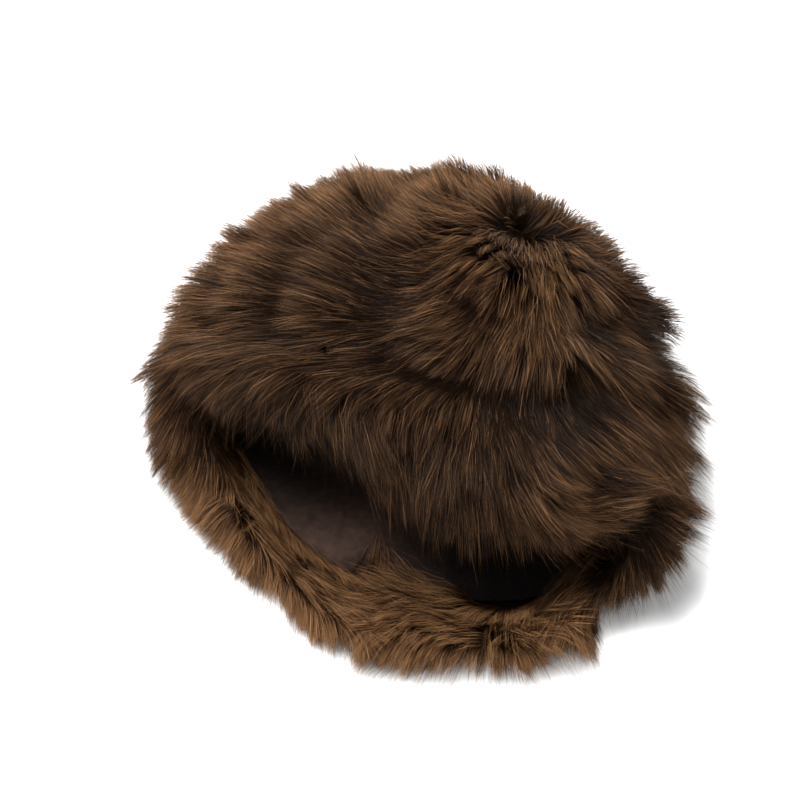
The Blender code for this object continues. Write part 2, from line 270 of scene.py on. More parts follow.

# %% [markdown]
# ## The combing guides
# Long hair lies the way it was brushed, and on this hat it was brushed many ways: away from a whorl high on
# the right of the crown, down over the front band, and in loose curls on the right ear flap. We note a
# direction at each place where it changes, in the frame of the photograph, and blend between them.
# Right and up are the direction as the camera sees it. Lift is how much the hair stands up, length is its share
# of the longest hair, tone runs from dark and cool to light and golden, and curl turns it on its way. Tone is
# partly the coat's own warm and cool patches and partly painted light and shade: it is set low as painted shade in
# creases, dents, between the curls and on the front band, and high as painted light on the lit crown and lower rim.

# %% Comb table
Guide = namedtuple("Guide", "x y right up lift length tone curl")
GUIDES = (
    # crown, along its upper edge
    Guide(405, 158, 0.02, 1.00, 0.50, 1.00, 0.54, 0),
    Guide(362, 168, -0.10, 1.00, 0.50, 1.00, 0.56, 0),
    Guide(327, 178, -0.35, 0.90, 0.50, 1.25, 0.56, 0),
    Guide(292, 190, -0.60, 0.80, 0.48, 1.25, 0.56, 0),
    Guide(262, 207, -0.75, 0.65, 0.46, 1.25, 0.56, 0),
    Guide(235, 235, -0.90, 0.40, 0.44, 0.95, 0.56, 0),
    Guide(208, 262, -1.00, 0.15, 0.42, 0.90, 0.59, 0),
    Guide(192, 288, -1.00, 0.05, 0.40, 0.90, 0.59, 0),
    Guide(440, 165, -0.10, 1.00, 0.50, 0.95, 0.52, 0),
    Guide(475, 182, -0.35, 0.90, 0.50, 0.95, 0.50, 0),
    Guide(515, 205, -0.25, 0.90, 0.55, 0.95, 0.50, 0),
    Guide(548, 215, 0.30, 0.85, 0.55, 0.66, 0.50, 0),
    Guide(585, 232, 0.75, 0.60, 0.48, 0.78, 0.43, 0),
    Guide(618, 252, 0.85, 0.50, 0.46, 0.95, 0.43, 0),
    Guide(645, 282, 0.90, 0.25, 0.44, 0.95, 0.48, 0),
    Guide(665, 310, 0.95, -0.10, 0.42, 0.95, 0.42, 0),
    # crown, brushed to the left
    Guide(400, 195, -0.50, 0.80, 0.36, 1.00, 0.54, 0),
    Guide(360, 212, -0.75, 0.60, 0.34, 1.00, 0.54, 0),
    Guide(322, 205, -0.70, 0.65, 0.36, 1.00, 0.56, 0),
    Guide(285, 237, -0.85, 0.45, 0.34, 1.00, 0.54, 0),
    Guide(425, 207, -0.65, 0.70, 0.36, 1.00, 0.50, 0),
    Guide(462, 200, -0.55, 0.80, 0.38, 0.95, 0.48, 0),
    Guide(487, 222, -0.60, -0.35, 0.50, 0.90, 0.46, 0),
    Guide(425, 240, -0.85, 0.40, 0.32, 0.90, 0.36, 0),
    Guide(335, 250, -0.80, 0.50, 0.30, 0.95, 0.30, 0),
    Guide(360, 270, -0.80, 0.50, 0.28, 0.90, 0.20, 0),
    Guide(260, 270, -0.95, 0.20, 0.32, 1.00, 0.50, 0),
    Guide(310, 282, -0.92, 0.28, 0.30, 1.00, 0.34, 0),
    Guide(410, 270, -0.75, 0.40, 0.28, 0.80, 0.12, 0),
    Guide(450, 285, -0.75, 0.30, 0.28, 0.75, 0.12, 0),
    Guide(360, 295, -0.95, 0.22, 0.28, 0.95, 0.26, 0),
    Guide(285, 305, -1.00, 0.08, 0.30, 1.00, 0.36, 0),
    Guide(335, 320, -1.00, 0.00, 0.30, 1.00, 0.32, 0),
    Guide(235, 305, -0.95, -0.15, 0.32, 1.00, 0.42, 0),
    Guide(210, 305, -0.85, -0.45, 0.34, 1.00, 0.46, 0),
    Guide(390, 330, -0.95, -0.10, 0.28, 0.90, 0.26, 0),
    Guide(430, 320, -0.90, -0.30, 0.28, 0.85, 0.24, 0),
    Guide(285, 343, -0.90, -0.28, 0.26, 0.95, 0.26, 0),
    Guide(340, 345, -0.95, -0.15, 0.26, 1.25, 0.22, 0),
    Guide(240, 342, -0.82, -0.50, 0.28, 0.95, 0.30, 0),
    # the left end, turning down
    Guide(172, 320, -0.85, -0.45, 0.40, 0.95, 0.52, 0),
    Guide(152, 350, -0.80, -0.50, 0.40, 0.95, 0.52, 0),
    Guide(148, 385, -0.65, -0.75, 0.40, 0.95, 0.50, 0),
    Guide(146, 412, -0.45, -0.88, 0.38, 0.95, 0.46, 0),
    Guide(197, 335, -0.70, -0.70, 0.32, 1.00, 0.44, 0),
    Guide(180, 360, -0.62, -0.78, 0.32, 1.00, 0.42, 0),
    Guide(222, 345, -0.80, -0.58, 0.30, 0.95, 0.36, 0),
    Guide(200, 385, -0.45, -0.90, 0.30, 0.95, 0.36, 0),
    Guide(168, 428, -0.60, -0.76, 0.34, 0.90, 0.44, 0),
    Guide(160, 450, -0.55, -0.82, 0.36, 0.85, 0.50, 0),
    # the crown's right side, from its ridge
    Guide(532, 237, -0.10, -1.00, 0.66, 0.90, 0.42, 0),
    Guide(532, 218, 0.00, 0.40, 0.85, 0.90, 0.54, 0),
    Guide(507, 240, -0.45, -0.80, 0.62, 0.90, 0.42, 0),
    Guide(558, 240, 0.35, -0.90, 0.62, 0.90, 0.47, 0),
    Guide(600, 245, 0.90, 0.30, 0.40, 0.90, 0.45, 0),
    Guide(548, 250, 0.05, -1.00, 0.50, 1.00, 0.40, 0),
    Guide(553, 275, 0.10, -1.00, 0.40, 1.00, 0.40, 0),
    Guide(557, 298, 0.10, -1.00, 0.50, 1.00, 0.36, 0),
    Guide(512, 283, -0.50, -0.85, 0.38, 0.90, 0.35, 0),
    Guide(524, 302, -0.50, -0.85, 0.36, 1.00, 0.37, 0),
    Guide(532, 320, -0.15, -1.00, 0.45, 1.00, 0.35, 0),
    Guide(542, 336, 0.10, -1.00, 0.42, 1.00, 0.29, 0),
    Guide(475, 300, -0.80, -0.50, 0.32, 0.90, 0.28, 0),
    Guide(500, 308, -0.78, -0.58, 0.34, 0.95, 0.27, 0),
    Guide(487, 337, -0.60, -0.78, 0.32, 0.95, 0.23, 0),
    Guide(450, 340, -0.80, -0.50, 0.28, 0.90, 0.24, 0),
    Guide(577, 280, 0.60, -0.75, 0.36, 0.90, 0.31, 0),
    Guide(612, 285, 0.98, -0.04, 0.32, 0.90, 0.25, 0),
    Guide(640, 285, 0.95, 0.08, 0.34, 0.90, 0.36, 0),
    Guide(600, 308, 0.90, -0.30, 0.26, 0.70, 0.06, 0),
    Guide(632, 316, 0.92, -0.15, 0.26, 0.70, 0.06, 0),
    Guide(558, 312, 0.80, -0.60, 0.36, 0.95, 0.31, 0),
    Guide(600, 340, 0.80, -0.60, 0.32, 1.00, 0.29, 0),
    Guide(625, 357, 0.80, -0.60, 0.32, 1.00, 0.32, 0),
    Guide(652, 342, 0.87, -0.50, 0.34, 1.00, 0.36, 0),
    Guide(575, 357, 0.68, -0.74, 0.32, 1.00, 0.28, 0),
    Guide(540, 345, 0.10, -0.90, 0.32, 0.85, 0.19, 0),
    # these two near-black tones are painted shade in a deep dark pit
    Guide(516, 372, -0.60, -0.40, 0.24, 0.65, 0.04, 0),
    Guide(545, 390, 0.40, -0.90, 0.24, 0.70, 0.06, 0),
    Guide(682, 340, 0.92, -0.32, 0.42, 1.40, 0.44, 0),
    Guide(688, 372, 0.92, -0.38, 0.42, 1.40, 0.42, 0),
    Guide(662, 382, 0.72, -0.70, 0.34, 1.40, 0.34, 0),
    Guide(587, 392, 0.72, -0.70, 0.32, 1.00, 0.30, 0),
    Guide(612, 417, 0.70, -0.72, 0.32, 1.00, 0.30, 0),
    # front band
    Guide(235, 380, -0.35, -0.92, 0.34, 0.85, 0.18, 12),
    Guide(272, 385, -0.05, -1.00, 0.34, 0.85, 0.16, 24),
    Guide(310, 395, 0.38, -0.92, 0.34, 0.90, 0.16, 14),
    Guide(340, 392, 0.40, -0.92, 0.34, 0.90, 0.16, 8),
    Guide(335, 417, 0.48, -0.88, 0.32, 0.95, 0.16, 0),
    Guide(360, 420, 0.32, -0.95, 0.32, 0.95, 0.14, 0),
    Guide(385, 405, 0.12, -1.00, 0.34, 0.90, 0.16, 0),
    Guide(410, 400, -0.10, -1.00, 0.34, 0.90, 0.16, 0),
    Guide(440, 400, -0.20, -0.97, 0.34, 0.90, 0.14, 0),
    Guide(462, 417, -0.30, -0.95, 0.32, 0.95, 0.14, 0),
    Guide(490, 410, 0.00, -1.00, 0.32, 0.90, 0.12, 0),
    Guide(520, 410, 0.22, -0.95, 0.32, 0.90, 0.12, 0),
    # the low tones of these band guides are painted shade along the crease under the band's left edge
    Guide(290, 405, 0.35, -0.92, 0.28, 0.80, 0.10, 0),
    Guide(250, 402, -0.05, -1.00, 0.28, 0.70, 0.10, 0),
    Guide(215, 402, -0.25, -0.95, 0.30, 0.75, 0.16, 0),
    Guide(370, 455, 0.18, -0.98, 0.30, 0.95, 0.14, 0),
    Guide(425, 450, 0.00, -1.00, 0.30, 1.00, 0.12, 0),
    Guide(450, 467, -0.18, -0.98, 0.30, 1.00, 0.12, 0),
    Guide(400, 480, 0.05, -1.00, 0.28, 0.95, 0.14, 0),
    Guide(462, 492, -0.10, -1.00, 0.28, 1.10, 0.14, 0),
    Guide(487, 445, 0.10, -0.98, 0.32, 0.95, 0.14, 0),
    Guide(512, 492, 0.02, -1.00, 0.30, 0.95, 0.16, 0),
    Guide(475, 530, 0.15, -0.98, 0.24, 1.55, 0.14, 0),
    Guide(500, 540, 0.18, -0.95, 0.26, 1.55, 0.18, 0),
    Guide(540, 545, 0.10, -0.98, 0.28, 1.45, 0.20, 0),
    Guide(430, 520, 0.05, -1.00, 0.22, 1.75, 0.12, 0),
    Guide(380, 500, 0.15, -1.00, 0.22, 2.05, 0.12, 0),
    Guide(335, 470, 0.20, -0.98, 0.24, 1.90, 0.12, 0),
    Guide(290, 450, 0.20, -0.98, 0.26, 1.80, 0.10, 0),
    # right ear flap, with its curls
    Guide(537, 442, -0.20, -0.95, 0.40, 0.95, 0.50, 40),
    Guide(562, 445, 0.72, -0.70, 0.34, 0.95, 0.28, 0),
    Guide(600, 442, 0.76, -0.62, 0.32, 1.00, 0.28, 0),
    Guide(637, 455, 0.52, -0.86, 0.34, 1.00, 0.32, 0),
    Guide(650, 430, 0.58, -0.80, 0.34, 1.00, 0.34, 0),
    Guide(680, 420, 0.70, -0.68, 0.42, 0.95, 0.42, 0),
    Guide(682, 455, 0.78, -0.58, 0.40, 0.95, 0.40, 0),
    Guide(685, 482, 0.82, -0.50, 0.40, 0.95, 0.42, 0),
    Guide(555, 480, 0.75, -0.65, 0.55, 0.95, 0.62, 60),
    Guide(575, 510, 1.00, 0.05, 0.60, 0.95, 0.70, 60),
    Guide(600, 505, 0.75, 0.60, 0.55, 0.80, 0.62, 20),
    Guide(535, 475, 0.25, -0.95, 0.55, 0.95, 0.62, 30),
    # these short hairs with tones below zero are painted shade deep between the curls
    Guide(585, 470, 0.70, -0.60, 0.26, 0.45, -0.25, 0),
    Guide(560, 475, 0.60, -0.60, 0.26, 0.45, -0.30, 0),
    Guide(570, 540, -0.30, -0.80, 0.26, 0.40, -0.30, 0),
    Guide(615, 534, -0.50, -0.60, 0.26, 0.40, -0.30, 0),
    Guide(625, 487, 0.96, -0.15, 0.34, 0.95, 0.34, 0),
    Guide(655, 500, 0.95, -0.20, 0.34, 0.95, 0.32, 0),
    Guide(688, 510, 0.93, -0.25, 0.42, 0.62, 0.40, 0),
    Guide(680, 538, 0.90, -0.35, 0.42, 0.62, 0.40, 0),
    Guide(640, 530, 0.70, -0.60, 0.34, 0.85, 0.22, 0),
    Guide(600, 548, -0.62, -0.76, 0.36, 0.90, 0.28, 0),
    Guide(575, 570, -0.58, -0.78, 0.38, 0.90, 0.47, 0),
    Guide(655, 570, 0.75, -0.65, 0.42, 0.55, 0.40, 0),
    Guide(630, 595, 0.42, -0.90, 0.40, 0.55, 0.42, 0),
    Guide(610, 612, 0.18, -1.00, 0.40, 0.75, 0.40, 0),
    Guide(590, 622, 0.08, -1.00, 0.40, 0.80, 0.55, 0),
    Guide(537, 580, 0.00, -1.00, 0.42, 1.15, 0.77, 0),
    Guide(512, 580, -0.40, -0.90, 0.44, 1.05, 0.81, 0),
    Guide(490, 578, -0.72, -0.62, 0.44, 0.95, 0.81, 0),
    Guide(575, 592, -0.15, -1.00, 0.40, 1.15, 0.67, 0),
    Guide(562, 612, 0.20, -0.98, 0.40, 1.10, 0.77, 0),
    Guide(580, 615, 0.85, -0.50, 0.42, 1.00, 0.70, 0),
    Guide(575, 640, 0.80, -0.60, 0.42, 0.70, 0.77, 0),
    Guide(570, 660, 0.50, -0.85, 0.42, 0.52, 0.79, 0),
    # the lower rim, from the left round to the right
    Guide(217, 467, -0.70, -0.62, 0.40, 0.85, 0.61, 0),
    Guide(242, 455, -0.30, -0.92, 0.38, 0.80, 0.46, 0),
    Guide(247, 482, -0.12, -1.00, 0.38, 0.85, 0.63, 0),
    Guide(270, 492, 0.05, -1.00, 0.38, 0.80, 0.60, 0),
    Guide(185, 480, -0.55, -0.82, 0.42, 0.62, 0.65, 0),
    Guide(200, 508, -0.85, -0.50, 0.42, 0.62, 0.67, 0),
    Guide(218, 535, -0.82, -0.58, 0.42, 0.62, 0.69, 0),
    Guide(230, 517, -0.40, -0.90, 0.40, 0.90, 0.65, 0),
    Guide(280, 520, 0.12, -0.98, 0.38, 0.75, 0.58, 0),
    Guide(255, 542, -0.15, -1.00, 0.40, 0.90, 0.67, 0),
    Guide(280, 557, 0.20, -0.96, 0.40, 0.85, 0.60, 0),
    Guide(305, 570, 0.28, -0.96, 0.40, 0.80, 0.73, 0),
    Guide(240, 572, -0.60, -0.80, 0.42, 0.85, 0.83, 0),
    Guide(272, 600, -0.48, -0.86, 0.42, 0.85, 0.85, 0),
    Guide(305, 625, -0.05, -1.00, 0.42, 0.85, 0.87, 0),
    Guide(335, 632, 0.20, -0.98, 0.42, 0.80, 0.87, 0),
    Guide(325, 592, 0.15, -1.00, 0.42, 0.80, 0.79, 0),
    Guide(355, 610, 0.25, -0.92, 0.40, 0.75, 0.75, 0),
    Guide(385, 640, -0.60, -0.76, 0.42, 0.80, 0.85, 0),
    Guide(417, 662, -0.62, -0.78, 0.42, 0.80, 0.85, 0),
    Guide(430, 588, -0.30, 0.80, 0.55, 0.90, 0.65, 0),
    Guide(480, 592, -0.10, 0.90, 0.55, 0.90, 0.65, 0),
    Guide(370, 582, 0.10, 0.85, 0.50, 0.80, 0.63, 0),
    Guide(410, 618, -0.88, -0.35, 0.44, 0.75, 0.77, 30),
    Guide(435, 620, -0.70, -0.50, 0.44, 0.75, 0.75, 60),
    Guide(405, 645, -0.85, -0.52, 0.42, 0.80, 0.81, 0),
    Guide(450, 632, -0.60, -0.72, 0.42, 0.80, 0.77, 0),
    Guide(462, 662, -0.40, -0.90, 0.42, 0.80, 0.87, 0),
    Guide(487, 635, -0.28, -0.92, 0.42, 0.85, 0.85, 0),
    Guide(500, 665, 0.02, -1.00, 0.42, 0.80, 0.91, 0),
    Guide(520, 650, 0.40, -0.90, 0.42, 0.75, 0.89, 0),
    Guide(515, 618, 0.10, -1.00, 0.44, 0.85, 0.89, 0),
    Guide(548, 635, 0.60, -0.75, 0.42, 0.70, 0.83, 0),
)
WHORL_X = 532.0
WHORL_Y = 200.0
EDGE_FACING = 0.25


def surface_under_pixel(x, y):
    """The place on the coat that the camera sees at a pixel, or the nearest to it, and its normal."""
    sight = -towards_camera
    sight = sight + camera_right * (x - FRAME_PIXELS / 2) * METRES_PER_PIXEL / VIEW_DISTANCE
    sight = sight - camera_up * (y - FRAME_PIXELS / 2) * METRES_PER_PIXEL / VIEW_DISTANCE
    place, normal = coat_tree.ray_cast(camera.location, sight.normalized())[:2]
    if place is None:
        share = (HAT_MIDDLE.z - camera.location.z) / sight.z
        place, normal = coat_tree.find_nearest(camera.location + sight * share)[:2]
    return place, normal


def along_skin(guide, normal):
    """The direction along the skin that the camera sees as the guide's right and up."""
    facing = max(normal.dot(towards_camera), EDGE_FACING)
    seen = camera_right * guide.right + camera_up * guide.up
    way = seen - towards_camera * (normal.dot(seen) / facing)
    return way.normalized() * min(seen.length, 1.0)


guide_places = [surface_under_pixel(guide.x, guide.y) for guide in GUIDES]
guide_points = np.array([place[:] for place, _ in guide_places])
guide_ways = np.array([along_skin(guide, normal)[:] for guide, (_, normal) in zip(GUIDES, guide_places)])
guide_traits = np.array([(guide.lift, guide.length, guide.tone, guide.curl) for guide in GUIDES])
whorl = np.array(surface_under_pixel(WHORL_X, WHORL_Y)[0])
print(len(GUIDES), "guides, whorl at", np.round(whorl * 1000), "mm")

# %% [markdown]
# Between guides a hair takes a mean of those near it, weighted by a bell curve of their distance. Where no
# guide is near, as on the back and underneath, it points away from the whorl.

# %% Read the comb anywhere
GUIDE_REACH = 0.0135
PLAIN_WEIGHT = 0.005
PLAIN_TRAITS = np.array((0.45, 0.95, 0.5, 0.0))
CHUNK = 20000


def unit(vectors):
    """Vectors at length one."""
    return vectors / np.maximum(np.linalg.norm(vectors, axis=-1, keepdims=True), 1e-9)


def comb_at(points, normals):
    """The combed direction along the skin at each point, and its lift, length, tone and curl."""
    ways = np.empty_like(points)
    traits = np.empty((len(points), 4))
    for start in range(0, len(points), CHUNK):
        part = slice(start, start + CHUNK)
        gaps = np.linalg.norm(points[part, None, :] - guide_points[None, :, :], axis=2)
        weights = np.exp(-0.5 * (gaps / GUIDE_REACH) ** 2)
        total = weights.sum(axis=1, keepdims=True) + PLAIN_WEIGHT
        away = unit(points[part] - whorl)
        ways[part] = (weights @ guide_ways + PLAIN_WEIGHT * away) / total
        traits[part] = (weights @ guide_traits + PLAIN_WEIGHT * PLAIN_TRAITS) / total
    ways -= normals * (ways * normals).sum(axis=1, keepdims=True)
    return unit(ways), traits


# %% [markdown]
# ## Where each hair starts
# We drop seeds over a panel's part of the coat so that each patch gets its share by area. The side that the
# camera sees gets a denser coat. Seeds go down into the fur, by less where the hat is thin, and by less in the
# opening, where the hair is clipped short. The pressed underside grows none.

# %% Scatter the roots
ROOT_DEPTH = 0.017
THIN_SHARE = 0.55
FAR_SIDE_SHARE = 0.5
UNDER_FACING = -0.55
UNDER_HEIGHT = 0.006
CLIPPED = 0.66
OPEN_LIMIT = 0.9

Roots = namedtuple("Roots", "points normals depths clips")


def panel_weights(node):
    """How much hair each face of the coat gets from this panel: its area, by how it faces us, or 0."""
    corners = coat.points[coat.triangles]
    crosses = np.cross(corners[:, 1] - corners[:, 0], corners[:, 2] - corners[:, 0])
    areas = np.linalg.norm(crosses, axis=1)
    facings = unit(crosses)
    pressed = (facings[:, 2] < UNDER_FACING) & (corners[:, :, 2].mean(axis=1) < UNDER_HEIGHT)
    density = np.where(facings @ np.array(towards_camera) > 0.0, 1.0, FAR_SIDE_SHARE)
    return areas * density * (coat.owners == names.index(node)) * ~pressed


def clip_shares(openness):
    """The share of its length that hair keeps: 1 in open air, and CLIPPED where it looks into the hollow."""
    return CLIPPED + (1.0 - CLIPPED) * np.clip(openness / OPEN_LIMIT, 0.0, 1.0) ** 2


def scatter_roots(node, count, random):
    """About count points on a panel's part of the coat, with their normals, depths and clipping."""
    weights = panel_weights(node)
    chosen = coat.triangles[random.choice(len(weights), size=count, p=weights / weights.sum())]
    first = random.random(count)
    second = random.random(count)
    folded = first + second > 1.0
    first[folded] = 1.0 - first[folded]
    second[folded] = 1.0 - second[folded]
    shares = np.stack((1.0 - first - second, first, second), axis=1)
    points = (coat.points[chosen] * shares[:, :, None]).sum(axis=1)
    normals = unit((coat.normals[chosen] * shares[:, :, None]).sum(axis=1))
    clips = clip_shares((coat.openness[chosen] * shares).sum(axis=1))
    thickness = (coat.thickness[chosen] * shares).sum(axis=1)
    return Roots(points, normals, np.minimum(ROOT_DEPTH * clips, thickness * THIN_SHARE), clips)


# %% [markdown]
# ## How one hair runs, and how hairs gather
# A hair rises from its root and leans over into the combed direction. Left alone, thousands of such hairs look
# like a brush. Real fur gathers: fine hairs close up into wisps, and wisps into locks. So we grow a few
# leading hairs first, then pull every hair towards the nearest leader, hardly at its root and
# strongly at its tip. We do that twice, for locks and for wisps.

# %% Grow and gather
HAIR_LENGTH = 0.041
PATH_POINTS = 4
LOCK_SPACING = 0.011
WISP_SPACING = 0.0033
LOCK_PULL = 0.20
WISP_PULL = 0.60
LOCK_SWAY = math.radians(12.0)
WISP_SWAY = math.radians(9.0)
HAIR_SWAY = math.radians(5.0)
DROOP = 0.10
FLOOR_CLEARANCE = 0.0004
MOST_PROUD = np.array((0.0165, 0.0160, 0.0120))


def turned(ways, normals, angles):
    """Directions turned about the skin's normals."""
    sides = np.cross(normals, ways)
    return ways * np.cos(angles)[:, None] + sides * np.sin(angles)[:, None]


def hair_paths(points, normals, ways, traits, lengths):
    """The points along each hair, from root to tip."""
    steps = np.linspace(0.0, 1.0, PATH_POINTS)
    lifts = traits[:, 0]
    curls = np.radians(traits[:, 3])
    paths = np.empty((len(points), PATH_POINTS, 3))
    for index, step in enumerate(steps):
        rise = lifts * (1.0 - (1.0 - step) ** 1.8)
        run = np.sqrt(1.0 - lifts**2) * step**1.25
        way = turned(ways, normals, curls * step)
        move = normals * rise[:, None] + way * run[:, None]
        move[:, 2] -= DROOP * step**2
        paths[:, index] = points + move * lengths[:, None]
    paths[:, :, 2] = np.maximum(paths[:, :, 2], FLOOR_CLEARANCE)
    return paths


def pull_to_leaders(paths, leader_paths, leader_roots, roots, pull):
    """Paths drawn towards the nearest leader's path, more towards the tip."""
    tree = KDTree(len(leader_roots))
    for index, point in enumerate(leader_roots):
        tree.insert(point, index)
    tree.balance()
    nearest = np.array([tree.find(point)[1] for point in roots])
    steps = np.linspace(0.0, 1.0, PATH_POINTS)[None, :, None] ** 1.3
    strength = (pull[nearest])[:, None, None] * steps
    return paths * (1.0 - strength) + leader_paths[nearest] * strength, nearest


def trimmed(paths):
    """Paths shortened towards their roots where they would stand too far out of the loaded hat's box."""
    low, high = BOX_LOW - MOST_PROUD, BOX_HIGH + MOST_PROUD
    run = paths - paths[:, :1]
    room = np.where(run > 0.0, high - paths[:, :1], low - paths[:, :1])
    share = np.where(np.abs(run) > 1e-9, room / np.where(np.abs(run) > 1e-9, run, 1.0), 1.0)
    keep = np.clip(share.min(axis=(1, 2)), 0.2, 1.0)
    return paths[:, :1] + run * keep[:, None, None]


def spaced(points, spacing, random):
    """Indices of a random subset of points, about one for each square of side spacing."""
    low = points.min(axis=0)
    order = random.permutation(len(points))
    cells = np.floor((points[order] - low) / spacing).astype(int)
    _, first = np.unique(cells, axis=0, return_index=True)
    return order[first]


# %% [markdown]
# ## From paths to strands
# A round hair would need many faces, so each hair is a flat ribbon of two quads and a pointed tip, five
# triangles in all. A ribbon shows its full width when it faces out from the fur, and turning each one by
# a random angle makes some catch the light and others fall dark, as round hairs of many thicknesses do.
# Each strand also stores two numbers for the material: tone, its shade, partly its own colour and partly painted
# light and shade, and tip, how far along it we are.

# %% Weave the strands into one mesh
STRAND_WIDTH = 0.00030
WIDTH_ALONG = (1.0, 0.92, 0.66)
STRAND_TWIST = math.radians(55.0)


def strand_mesh(name, paths, normals, widths, tones, random):
    """One mesh of ribbons, with tone and tip stored on its points and in its UV map."""
    count = len(paths)
    alongs = unit(np.gradient(paths, axis=1))
    twist = random.uniform(-STRAND_TWIST, STRAND_TWIST, count)
    sides = np.cross(alongs, normals[:, None, :])
    sides = unit(sides)
    lifted = np.cross(sides, alongs)
    sides = sides * np.cos(twist)[:, None, None] + lifted * np.sin(twist)[:, None, None]
    body = len(WIDTH_ALONG)
    half_widths = 0.5 * widths[:, None, None] * np.array(WIDTH_ALONG)[None, :, None]
    left = paths[:, :body] - sides[:, :body] * half_widths
    right = paths[:, :body] + sides[:, :body] * half_widths
    rungs = np.stack((left, right), axis=2).reshape(count, body * 2, 3)
    vertices = np.concatenate((rungs, paths[:, body:body + 1]), axis=1)
    per_strand = body * 2 + 1
    one = [(0, 1, 3), (0, 3, 2), (2, 3, 5), (2, 5, 4), (4, 5, 6)]
    faces = (np.array(one)[None] + (np.arange(count) * per_strand)[:, None, None]).reshape(-1, 3)

    mesh = bpy.data.meshes.new(name)
    mesh.vertices.add(count * per_strand)
    mesh.vertices.foreach_set("co", vertices.astype(np.float32).ravel())
    mesh.loops.add(len(faces) * 3)
    mesh.loops.foreach_set("vertex_index", faces.astype(np.int32).ravel())
    mesh.polygons.add(len(faces))
    mesh.polygons.foreach_set("loop_start", np.arange(0, len(faces) * 3, 3, dtype=np.int32))
    mesh.update(calc_edges=True)

    tip_steps = np.repeat(np.linspace(0.0, 1.0, PATH_POINTS)[:body], 2).tolist() + [1.0]
    tip = np.tile(np.array(tip_steps), count)
    tone = np.repeat(tones, per_strand)
    store_shades(mesh, tone, tip)
    mesh.shade_smooth()
    return mesh


def store_shades(mesh, tone, tip):
    """Tone and tip as point attributes and as the two directions of a UV map."""
    for name, values in (("tone", tone), ("tip", tip)):
        attribute = mesh.attributes.new(name, "FLOAT", "POINT")
        attribute.data.foreach_set("value", np.asarray(values, dtype=np.float32))
    corners = np.empty(len(mesh.loops), dtype=np.int32)
    mesh.loops.foreach_get("vertex_index", corners)
    layer = mesh.uv_layers.new(name="OFBake")
    pairs = np.stack((np.asarray(tone)[corners], np.asarray(tip)[corners]), axis=1)
    layer.data.foreach_set("uv", np.clip(pairs, 0.01, 0.99).astype(np.float32).ravel())


# %% [markdown]
# ## The colour of fur
# Each hair is darkest at its root and warms to a golden tip. The dark root is partly the hair's own colour and
# partly painted shade from its neighbours; the golden tip is partly its own colour and partly painted light that
# shines through it. The coat has cool, nearly purple brown patches and warm ones. A shader node group turns tone
# and tip into one colour. The hair and the underfur both use it, so they always agree.

# %% The fur colour group
Shade = namedtuple("Shade", "root middle tip")
# Dark roots are partly the hair's own colour and partly painted shade; light warm tips partly own colour, partly
# painted light.
COOL = Shade(root=(0.0030, 0.0015, 0.0009), middle=(0.0044, 0.0021, 0.0012), tip=(0.0100, 0.0052, 0.0030))
WARM = Shade(root=(0.0060, 0.0025, 0.0010), middle=(0.0230, 0.0096, 0.0034), tip=(0.320, 0.1620, 0.0720))


def new_group(name, inputs, outputs):
    """An empty node group with named inputs and outputs, each given as (kind, name, value)."""
    group = bpy.data.node_groups.new(name, "ShaderNodeTree")
    for kind, label, value in inputs:
        socket = group.interface.new_socket(name=label, in_out="INPUT", socket_type=kind)
        socket.default_value = value
    for kind, label in outputs:
        group.interface.new_socket(name=label, in_out="OUTPUT", socket_type=kind)
    return group, group.nodes.new("NodeGroupInput"), group.nodes.new("NodeGroupOutput")


def mix_colours(tree, factor, low, high):
    """A node that mixes two colours, each given as a socket or a value."""
    node = tree.nodes.new("ShaderNodeMix")
    node.data_type = "RGBA"
    for socket, value in ((node.inputs["Factor"], factor), (node.inputs[6], low), (node.inputs[7], high)):
        if isinstance(value, tuple):
            socket.default_value = (*value, 1.0)
        else:
            tree.links.new(value, socket)
    return node.outputs[2]


def fur_colour_group():
    """Tone and tip in, colour out."""
    group, entry, leave = new_group(
        "fur_colour",
        (("NodeSocketFloat", "Tone", 0.5), ("NodeSocketFloat", "Tip", 0.5)),
        (("NodeSocketColor", "Colour"),),
    )
    lower = group.nodes.new("ShaderNodeMapRange")
    lower.inputs["From Max"].default_value = 0.55
    upper = group.nodes.new("ShaderNodeMapRange")
    upper.inputs["From Min"].default_value = 0.45
    group.links.new(entry.outputs["Tip"], lower.inputs["Value"])
    group.links.new(entry.outputs["Tip"], upper.inputs["Value"])
    tone = entry.outputs["Tone"]
    root = mix_colours(group, tone, COOL.root, WARM.root)
    middle = mix_colours(group, tone, COOL.middle, WARM.middle)
    tip = mix_colours(group, tone, COOL.tip, WARM.tip)
    low = mix_colours(group, lower.outputs["Result"], root, middle)
    colour = mix_colours(group, upper.outputs["Result"], low, tip)
    group.links.new(colour, leave.inputs["Colour"])
    return group


def read_attribute(tree, name):
    """A node that reads a stored number of the mesh."""
    node = tree.nodes.new("ShaderNodeAttribute")
    node.attribute_name = name
    return node.outputs["Fac"]


def place_group(tree, group, **values):
    """A group's node, with each named input linked to a socket or set to a value."""
    node = tree.nodes.new("ShaderNodeGroup")
    node.node_tree = group
    for name, value in values.items():
        socket = node.inputs[name.replace("_", " ")]
        if isinstance(value, (int, float, tuple)):
            socket.default_value = value
        else:
            tree.links.new(value, socket)
    return node


fur_colour = fur_colour_group()


